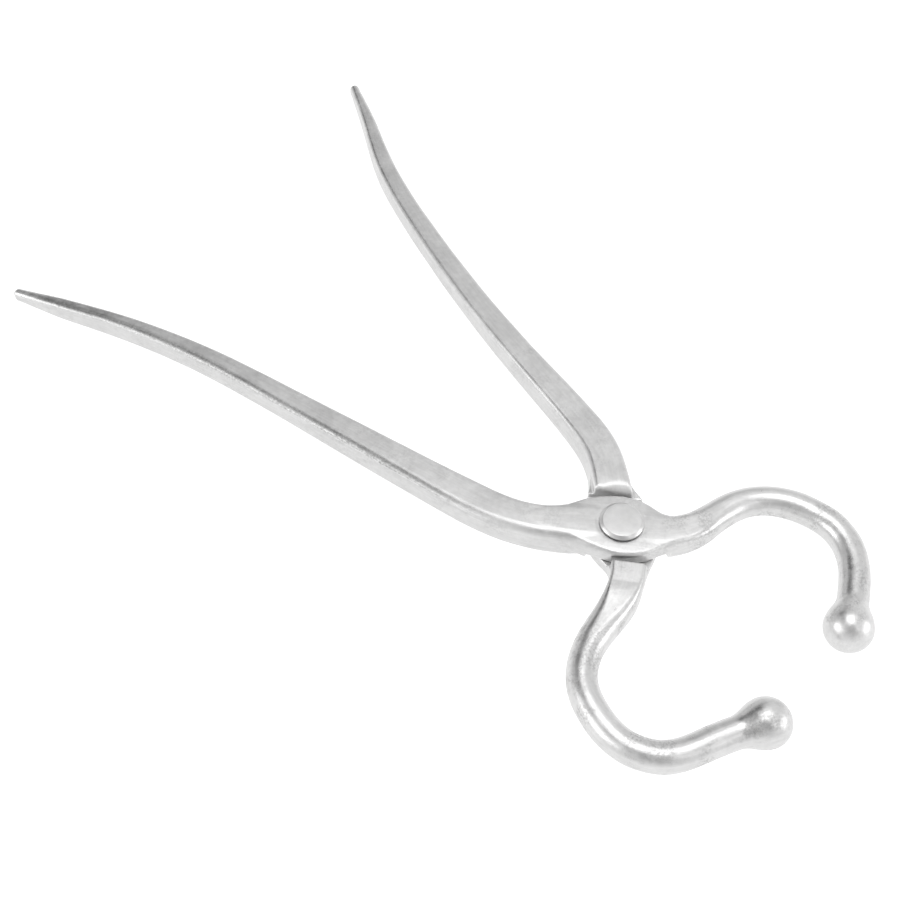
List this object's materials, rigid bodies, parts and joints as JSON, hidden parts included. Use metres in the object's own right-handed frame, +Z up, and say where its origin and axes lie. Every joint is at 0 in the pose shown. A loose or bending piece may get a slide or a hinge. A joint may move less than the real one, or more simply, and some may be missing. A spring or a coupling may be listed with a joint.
{
  "type": "cattle nose holder",
  "caption": "Hand-held lever tool of crossed steel arms on a rivet: long tapered handles, wide round-rod jaws that curve back to facing ball ends.",
  "frame": {"origin": "on the rivet axis at the end face of the rivet's tail", "axes": "+X from the rivet towards the jaws, midway between the arms; +Z up along the rivet towards its head; +Y to the left"},
  "size_m": [0.3327, 0.1846, 0.017],
  "materials": {
    "upper_arm_steel": "satin ground and hand polished",
    "lower_arm_steel": "satin ground and hand polished",
    "rivet_steel": "turned, satin"
  },
  "bodies": {
    "lower_body": {"lower_arm": "lower_arm_steel", "pivot_rivet": "rivet_steel"},
    "upper_body": {"upper_arm": "upper_arm_steel"}
  },
  "joints": [
    {"name": "jaw_pivot", "type": "hinge", "parent": "lower_body", "child": "upper_body", "pos_m": [0, 0, 0.0068], "axis": [0, 0, 1], "range_deg": [-20, 25]}
  ]
}
